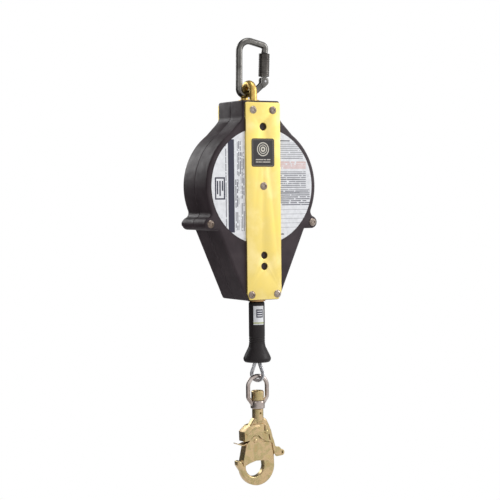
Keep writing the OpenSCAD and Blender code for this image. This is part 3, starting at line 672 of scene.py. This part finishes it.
def screws(name, node, direction, places, y, **sizes):
    heads = [button_screw(direction, Vector((x, y, z)), **sizes) for x, z in places]
    piece(name, heads, finishes["screw_steel"], "housing", node)


rear_plate = Span("rear_plate")
screws("front_plate_bolts", ["front_plate_screws"], FRONT, SCREWS, plate.low.y)
screws("rear_plate_bolts", ["rear_plate_screws"], BACK, SCREWS, rear_plate.high.y)
screws("front_shaft_bolt", ["shaft_screws"], FRONT, [(0, 0)], plate.low.y)
screws("rear_shaft_bolt", [], BACK, [(0, 0)], rear_plate.high.y)
EARS = [(-ear.x, ear.y), (ear.x, ear.y)]
screws("ear_bolts", ["ear_screws"], FRONT, EARS, front_case.low.y, height=4.0)
nuts = Span("ear_nuts")
nut_form = [(0, 0), (7.4, 0), (8, 0.7, "hex"), (8, 4.7, "hex"), (7.2, nuts.size.y), (4.2, nuts.size.y),
            (4, nuts.size.y - 0.6), (4, nuts.size.y + 0.4), (3.4, nuts.size.y + 1.0), (0, nuts.size.y + 1.0)]
piece("ear_nut_pair", [lathe(nut_form, facing(BACK, Vector((x, rear_case.high.y, z)))) for x, z in EARS],
      finishes["bright_steel"], "housing", ["ear_nuts"])

# ---- Carabiner ----

hinge = pivot("anchor_gate_swing")
NOSE = (33.6, 242)
ROD_R = 6.0
gate_axis = (Vector((NOSE[0], 0, NOSE[1])) - hinge).normalized()
gate_length = math.hypot(NOSE[0] - hinge.x, NOSE[1] - hinge.z)
rod_path = rounded([NOSE, (36, 255.5, 8), (-19, 268, 20), (-20.5, 160.2, 11), (14, 173.2, 26), (27.2, 184.2)],
                   10, 14, closed=False)
rod_path = [NOSE, (NOSE[0] + 0.12, NOSE[1] + 0.7)] + rod_path[1:]
rod = loft(in_plane(rod_path), round_section(ROD_R, 28), BACK, scale=[0.9] + [1.0] * (len(rod_path) - 1))
knuckle = rounded([(hinge.x + 7.2, hinge.z - 4, 7), (hinge.x + 7.2, hinge.z + 7.2, 7.1),
                   (hinge.x - 7.2, hinge.z + 7.2, 7.1), (hinge.x - 7.2, hinge.z - 3, 3),
                   (22.5, 186.5, 2), (27.4, 177.2, 3)], 3, 8)
cheeks = [slab([knuckle], y, y + 3.2, 0.8) for y in (-6.5, 3.3)]
piece("carabiner_frame", [rod] + cheeks, finishes["anchor_steel"], "anchor",
      ["carabiner_body"])


def knurled_sleeve():
    """The locking sleeve: raised bands with a diamond knurl, on a tube."""
    band, groove = 10.0, 9.45
    profile = [(5.7, 9.0), (groove, 9.0)]
    for k in range(13):
        low = 9.3 + k * 3.3
        profile += [(band - 0.3, low), (band, low + 0.3), (band, low + 1.1), (band, low + 1.9),
                    (band - 0.3, low + 2.3), (groove, low + 2.5), (groove, low + 3.1)]
    top = gate_length - 0.7
    profile = [p for p in profile if p[1] <= top] + [(groove, top), (5.7, top)]
    mesh = lathe(profile, steps=72)
    for vertex in mesh.verts:
        reach = vertex.co.xy.length
        if reach > band - 0.1:
            angle = math.atan2(vertex.co.y, vertex.co.x)
            rise = vertex.co.z * math.pi
            cross = math.cos(18 * angle + rise) * math.cos(18 * angle - rise)
            vertex.co.xy *= (band - 0.22 + 0.22 * cross) / reach
    bmesh.ops.transform(mesh, matrix=facing(gate_axis, hinge), verts=mesh.verts)
    return mesh


piece("locking_sleeve", [knurled_sleeve()], finishes["sleeve_steel"], "anchor_sleeve",
      ["carabiner_sleeve"], crease=50)

# ---- Swivel eye ----

eye = Span("swivel_eye")
EYE_WIRE = 7.0
FLANGE_R = 19.0
eye_half = eye.high.y - EYE_WIRE
arch_top = eye.high.z - EYE_WIRE
seat = front_case.high.z + 0.3
arch_path = rounded([(-eye_half, seat + 0.2), (-eye_half, arch_top, eye_half - 0.4),
                     (eye_half, arch_top, eye_half - 0.4), (eye_half, seat + 0.2)], 1, 18, closed=False)
arch = loft([Vector((0, y, z)) for y, z in arch_path], round_section(EYE_WIRE, 28), Vector((1, 0, 0)))
flange = rounded([(0, seat), (FLANGE_R, seat, 0.6), (FLANGE_R, seat + 3, 1), (8, seat + 3), (0, seat + 3)],
                 0.3, 4)
collar = [(0, eye.low.z), (9, eye.low.z), (9, 145.3), (14.4, 145.3), (15, 145.9), (15, seat + 0.5),
          (0, seat + 0.5)]
piece("lifting_eye", [arch, lathe(flange), lathe(collar)], finishes["eye_gold"], "eye",
      ["swivel_eye"])

# ---- Lifeline end ----

line = (0, Span("lifeline_run").middle.y)
down_line = Matrix.Translation((line[0], line[1], 0))
sleeve = Span("bumper")
SLEEVE_R, FLARE_R = 14.5, sleeve.size.x / 2


def bumper():
    top, foot = sleeve.high.z, sleeve.low.z
    profile = [(2.9, top, 0), (SLEEVE_R - 2.5, top, 1), (SLEEVE_R, top - 2.5, 2)]
    for k in range(3):
        height = top - 64 - 4 * k
        profile += [(SLEEVE_R, height, 0.3), (SLEEVE_R - 0.6, height - 0.7, 0.3),
                    (SLEEVE_R - 0.6, height - 1.5, 0.3), (SLEEVE_R, height - 2.2, 0.3)]
    profile += [(SLEEVE_R, foot + 33, 6), (SLEEVE_R + 1.2, foot + 27.5, 5), (FLARE_R - 2, foot + 12, 4),
                (FLARE_R, foot + 7, 3), (FLARE_R - 0.6, foot + 3, 2), (FLARE_R - 3, foot, 1.2),
                (FLARE_R - 7, foot, 1.5), (12, foot + 14, 3), (10, foot + 26, 3), (10, foot + 82, 2),
                (2.9, foot + 88, 0)]
    return lathe(rounded(profile, 1, 4), down_line, 72)


piece("bumper_sleeve", [bumper()], finishes["rubber"], "line_end", ["bumper"], crease=40)


def strands(path, up, rope_r, lay=26.0):
    """Six strands laid round a seventh along a path, one turn in each lay length."""
    thin = rope_r / 3
    meshes = [loft(path, round_section(thin, 8), up)]
    far = 0.0
    turned_by = [0.0]
    for a, b in zip(path, path[1:]):
        far += (b - a).length
        turned_by.append(2 * math.pi * far / lay)
    for k in range(6):
        wound = []
        for i, point in enumerate(path):
            along = (path[min(i + 1, len(path) - 1)] - path[max(i - 1, 0)]).normalized()
            side = up.cross(along).normalized()
            angle = turned_by[i] + math.pi * k / 3
            wound.append(point + (side * math.cos(angle) + along.cross(side) * math.sin(angle)) * 2 * thin)
        meshes.append(loft(wound, round_section(thin * 1.04, 10), up))
    return meshes


def even(points, step):
    """A path's points, spaced evenly."""
    far = [0.0]
    for a, b in zip(points, points[1:]):
        far.append(far[-1] + (b - a).length)
    count = max(2, round(far[-1] / step))
    spaced = []
    k = 0
    for i in range(count + 1):
        goal = far[-1] * i / count
        while k < len(points) - 2 and far[k + 1] < goal:
            k += 1
        share = (goal - far[k]) / max(far[k + 1] - far[k], 1e-9)
        spaced.append(points[k].lerp(points[k + 1], min(share, 1)))
    return spaced


run = Span("lifeline_run")
ROPE_R = run.size.x / 2
straight = even([Vector((*line, run.high.z)), Vector((*line, run.low.z))], 1.5)
lifeline = piece("lifeline_rope", strands(straight, BACK, ROPE_R), finishes["wire_rope"],
                 replaces=["lifeline_run"])
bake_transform(lifeline)

ferrule = Span("ferrule")
EYE_TURN = -60
EYE_R = 12.6
eye_centre = (0, Span("lifeline_eye").low.z + EYE_R + ROPE_R)
LEG = 2.7
leg_kink = ferrule.low.z - 20
lean = math.atan2(LEG, leg_kink - eye_centre[1])
splay = lean + math.acos(EYE_R / math.hypot(LEG, leg_kink - eye_centre[1]))
eye_foot = LEG + (leg_kink - eye_centre[1] + EYE_R) / math.tan(splay)
eye_low = eye_centre[1] - EYE_R
eye_path = rounded([(-LEG, ferrule.low.z), (-LEG, leg_kink, 18), (-eye_foot, eye_low, EYE_R - 0.5),
                    (eye_foot, eye_low, EYE_R - 0.5), (LEG, leg_kink, 18), (LEG, ferrule.low.z)],
                   10, 14, closed=False)
eye_points = in_plane(eye_path, turn=EYE_TURN, centre=line)
eye_up = Matrix.Rotation(math.radians(EYE_TURN), 3, "Z") @ BACK
piece("rope_eye", strands(even(eye_points, 1.2), eye_up, ROPE_R), finishes["wire_rope"],
      "line_end", ["lifeline_eye"])


def thimble():
    """A folded channel that lines the rope's eye, open at its point."""
    radius = 9.5
    apex = leg_kink - 5
    tilt = math.degrees(math.acos(radius / (apex - eye_centre[1])))
    bottom = arc(eye_centre, radius, 90 - tilt, -270 + tilt, 40)
    path = [(0.9, apex)] + bottom + [(-0.9, apex)]
    channel = [(2.3, 3.3), (2.0, 3.4), (-0.2, 2.5), (-0.9, 1.2), (-0.9, -1.2), (-0.2, -2.5), (2.0, -3.4),
               (2.3, -3.3), (0.5, -2.3), (-0.2, -1.1), (-0.2, 1.1), (0.5, 2.3)]
    return loft(even(in_plane(path, turn=EYE_TURN, centre=line), 1.0), [(-a, b) for a, b in channel], eye_up)


piece("rope_thimble", [thimble()], finishes["bright_steel"], "line_end", ["thimble"])

# ---- Swivel bail ----

bail = Span("swivel_bail")
BAIL_WIRE = 3.8
BAIL_RING = 13.0
bail_half = bail.size.x / 2 - BAIL_WIRE
bail_top = bail.high.z - BAIL_WIRE
bail_path = rounded([(-9, -397), (-bail_half, -383, 9), (-bail_half, bail_top, bail_half - 1),
                     (bail_half, bail_top, bail_half - 1), (bail_half, -383, 9), (9, -397)],
                    9, 14, closed=False)
wire = loft(in_plane(bail_path, line[1]), round_section(BAIL_WIRE, 24), BACK)
ring_profile = turned([(7.1, bail.low.z), (BAIL_RING, bail.low.z), (BAIL_RING, -392), (12.2, -388.4),
                       (7.1, -388.4)], 1.0)
piece("bail_link", [wire, lathe(ring_profile, down_line)], finishes["link_steel"], "bail",
      ["swivel_bail"])

# ---- Snap hook ----

gate_rivet = (pivot("hook_gate_swing").x, pivot("hook_gate_swing").z)
lock_rivet = (pivot("hook_lock_press").x, pivot("hook_lock_press").z)
BOWL, BOWL_R = (-4, -508), 35.0
THROAT, THROAT_R = (-10, -507), 19.0
CHEEK = 7.3
SHEET = 1.6
LOCK = CHEEK + SHEET + 0.3


def across_hook(outlines, near, far, edge=0.5, steps=3):
    """A flat piece in the hook's plane, between two distances in front of its middle."""
    return slab(outlines, line[1] - far, line[1] - near, edge, steps)


def both_cheeks(outlines, near, edge=0.5):
    return [across_hook(outlines, low, low + SHEET, edge) for low in (near, -near - SHEET)]


hook_outline = rounded(
    [(-10, -420), (10, -420), (15.5, -424, 6), (20.5, -434, 10), (25.5, -446, 10), (28.5, -458, 10),
     (30, -472, 10)]
    + sharp(arc(BOWL, BOWL_R, 0, -168, 44))
    + [(-46.6, -503, 3), (-47.4, -494.4, 3.4), (-40.5, -494.6, 2.5)]
    + sharp(arc(THROAT, THROAT_R, 168, 356, 40))
    + [(6.5, -485, 8), (-4, -474, 8), (-17, -470, 4), (-25, -455, 6), (-23, -438, 6)], 2)
neck = turned([(0, -428), (9.6, -428), (10.3, -424), (10.3, -404.6), (9.2, -403.3), (7, -403.3), (7, -372.6),
               (6.4, -372), (0, -372)], 0.5)
pin_hole = lathe([(0, -14), (1.9, -14), (1.9, -6), (0, -6)], facing(BACK, Vector((*line, -411))), 24)
piece("hook_forging", [across_hook([hook_outline], -7, 7, 3.2, 5), cut(lathe(neck, down_line), pin_hole)],
      finishes["hook_zinc"], "hook", ["hook_body"])

nut = Span("hook_swivel_nut")
nut_profile = turned([(7.02, nut.low.z), (nut.size.x / 2, nut.low.z), (nut.size.x / 2, nut.high.z - 2),
                      (9.8, nut.high.z), (7.02, nut.high.z)], 0.6)
cross_hole = lathe([(0, 0), (2.2, 0), (2.2, 8), (0, 8)],
                   facing(Vector((-1, 0, 0)), Vector((-7.5, line[1], -379))), 24)
piece("hook_stud_nut", [cut(lathe(nut_profile, down_line), cross_hole)], finishes["hook_zinc"],
      "hook", ["hook_swivel_nut"])

gate_cheek = rounded(
    sharp(arc(gate_rivet, 9, 0, 142, 16)) + [(-29, -466, 3), (-36, -498, 3), (-34.5, -506, 1.5),
    (-22, -500.5, 8), (-9, -497, 8), (4, -497.5, 8), (20, -500, 4), (25.5, -496, 3), (27, -485, 6),
    (26.5, -466, 2), (0, -463, 1)], 2)
gate_web = [(-29, -466), (-35.6, -496.4), (-34, -496.4), (-27.4, -466)]
gate_finger = rounded([(-27, -464.8), (-36, -468.2, 6), (-46.5, -464.4, 1), (-46.5, -462.6, 1),
                       (-36, -466.2, 5), (-28, -463.2)], 0.4)
gate_half = CHEEK + SHEET
hook_gate = both_cheeks([gate_cheek, circle(gate_rivet, 3.05, 24)], CHEEK)
hook_gate.append(across_hook([gate_web], -gate_half + 0.6, gate_half - 0.6, 0.2, 1))
hook_gate.append(across_hook([gate_finger], -gate_half, gate_half, 0.4))
piece("hook_gate_plate", hook_gate, finishes["hook_zinc"], "hook_gate_body", ["hook_gate"])

THUMB = (45, -486.7)
lock_cheek = rounded(
    [(-34, -443, 2), (-22, -432.5, 3), (-12, -430.5, 4), (9, -430.5, 3), (15, -437, 6), (22, -449, 8),
     (27.5, -463, 8), (30.5, -474, 3), (39, -475.5, 4), (44, -481, 3), (44, -492, 2), (31, -493, 4),
     (26.5, -480, 5), (24, -466.5, 3), (12, -463, 5), (2, -458, 5), (-4, -451.5, 4), (-14, -450, 4),
     (-22, -459, 4), (-33.5, -460.5, 2)], 2)
lock_slots = [rounded([(7.5, -433), (9.5, -433), (9.5, -444), (7.5, -444)], 0.9),
              rounded([(16, -450.5), (18, -450), (20.3, -461.3), (18.3, -461.7)], 0.9)]
lock_half = LOCK + SHEET
hook_lock = both_cheeks([lock_cheek, circle(lock_rivet, 3.05, 24)] + lock_slots, LOCK)
for web in ([(-34, -443), (-32.4, -443.4), (-31.9, -460), (-33.5, -460.5)],
            [(-34, -443), (-22, -432.5), (-22.6, -434.6), (-33, -444.5)]):
    hook_lock.append(across_hook([web], -lock_half + 0.6, lock_half - 0.6, 0.2, 1))
ridge = [Vector((x, line[1], z)) for x, z in rounded(
    [(-33.4, -443.6), (-22, -433.4, 4), (-12, -431.4, 4), (-3, -431.2)], 4, 6, closed=False)]
for side in (-1, 1):
    rib = [(0.8, (lock_half - 0.4) * side), (0.8, lock_half * side), (3.2, (lock_half + 1.6) * side),
           (5.6, (lock_half + 1.6) * side), (8.4, lock_half * side), (8.4, (lock_half - 0.4) * side)]
    hook_lock.append(loft(ridge, rib, BACK))
thumb = slab([circle(THUMB, 5.8), circle(THUMB, 2.5, 20)], line[1] - LOCK - 0.1, line[1] + LOCK + 0.1, 0.8)
hook_lock.append(thumb)
piece("hook_lock_lever", hook_lock, finishes["hook_zinc"], "hook_lock_body", ["hook_lock"])


def rivet(centre, half, head):
    """A peened rivet through two cheeks."""
    ends = [(head, half + 0.1), (head, half + 0.7), (head * 0.82, half + 1.3), (head * 0.4, half + 1.6)]
    profile = [(0, -half - 1.65)] + [(r, -h) for r, h in ends[::-1]] + [(2.95, -half), (2.95, half)]
    place = facing(BACK, Vector((centre[0], line[1], centre[1])))
    return lathe(profile + ends + [(0, half + 1.65)], place, 40)


cross_pin = [(0, -7), (1.6, -7), (1.6, 7), (0, 7)]
piece("hook_rivet_set", [rivet(gate_rivet, gate_half, 3.8), rivet(lock_rivet, lock_half, 3.6),
                         lathe(cross_pin, facing(BACK, Vector((*line, -411))), 24)],
      finishes["hook_zinc"], "hook", ["hook_rivets"])

# ---- Studio ----

low, high = (Vector(corner) for corner in cad_box)
middle = (low + high) / 2


def plain_surface(name, points, tone):
    """A pale piece of the studio, which isn't part of the object."""
    mesh = bmesh.new()
    mesh.faces.new([mesh.verts.new(point) for point in points])
    data = bpy.data.meshes.new(name)
    mesh.to_mesh(data)
    mesh.free()
    made = bpy.data.objects.new(name, data)
    bpy.context.scene.collection.objects.link(made)
    paint = Finish(name, Roughness=0.9)
    paint.to("Base Color", paint.ramp(paint.noise(0.6), (0.3, tone), (0.7, tone * 1.02)))
    data.materials.append(paint.material)


FLOOR_REACH = 1.2
floor_z = low.z - 0.35
plain_surface("studio_floor", [
    (FLOOR_REACH * math.cos(math.radians(a)), FLOOR_REACH * math.sin(math.radians(a)), floor_z)
    for a in range(0, 360, 5)], 0.9)


def softbox(name, offset, width, height, power):
    """An area light at an offset in metres from the object's middle, turned towards it."""
    lamp = bpy.data.lights.new(name, "AREA")
    lamp.shape = "RECTANGLE"
    lamp.size, lamp.size_y = width, height
    lamp.energy = power
    made = bpy.data.objects.new(name, lamp)
    made.location = middle + Vector(offset)
    made.rotation_euler = (-Vector(offset)).to_track_quat("-Z", "Y").to_euler()
    bpy.context.scene.collection.objects.link(made)


softbox("key_light", (2.5, -1.7, 1.2), 1.3, 1.6, 34)
softbox("fill_light", (-2.4, -1.2, 0.6), 1.0, 1.6, 5)
softbox("back_light", (-0.8, 2.6, 1.2), 1.4, 1.4, 22)
softbox("top_light", (0.2, -0.3, 2.4), 1.2, 1.2, 14)


def studio_world():
    """White behind the object, and a soft room that is bright to the front right and dim to the left."""
    world_light = bpy.data.worlds.new("studio")
    bpy.context.scene.world = world_light
    world_light.use_nodes = True
    tree = world_light.node_tree
    room = tree.nodes["Background"]
    toward = tree.nodes.new("ShaderNodeVectorMath")
    toward.operation = "DOT_PRODUCT"
    toward.inputs[1].default_value = Vector((0.5, -0.82, 0.1)).normalized()
    tree.links.new(tree.nodes.new("ShaderNodeTexCoord").outputs["Generated"], toward.inputs[0])
    shade = tree.nodes.new("ShaderNodeMapRange")
    shade.interpolation_type = "SMOOTHSTEP"
    for socket, value in (("From Min", -0.75), ("From Max", 0.9), ("To Min", 0.10), ("To Max", 0.95)):
        shade.inputs[socket].default_value = value
    tree.links.new(toward.outputs["Value"], shade.inputs["Value"])
    tree.links.new(shade.outputs["Result"], room.inputs["Strength"])
    room.inputs["Color"].default_value = (1, 1, 1, 1)
    white = tree.nodes.new("ShaderNodeBackground")
    white.inputs["Color"].default_value = (1, 1, 1, 1)
    choose = tree.nodes.new("ShaderNodeMixShader")
    tree.links.new(tree.nodes.new("ShaderNodeLightPath").outputs["Is Camera Ray"], choose.inputs[0])
    tree.links.new(room.outputs[0], choose.inputs[1])
    tree.links.new(white.outputs[0], choose.inputs[2])
    tree.links.new(choose.outputs[0], tree.nodes["World Output"].inputs["Surface"])


studio_world()
bpy.context.scene.view_settings.view_transform = "Standard"

camera = bpy.data.cameras.new("camera")
camera.sensor_width = 36
camera.lens = 104.27
camera.clip_start, camera.clip_end = 0.05, 200
viewer = bpy.data.objects.new("camera", camera)
bpy.context.scene.collection.objects.link(viewer)
HEADING, PITCH, ROLL = 30.258, -2.154, -0.6
viewer.location = (-1.32955, -2.27760, drum_z - 0.01676)
viewer.rotation_euler = (
    Matrix.Rotation(math.radians(-HEADING), 3, "Z") @ Matrix.Rotation(math.radians(90 + PITCH), 3, "X")
    @ Matrix.Rotation(math.radians(ROLL), 3, "Z")).to_euler()
bpy.context.scene.camera = viewer

bpy.context.view_layer.update()
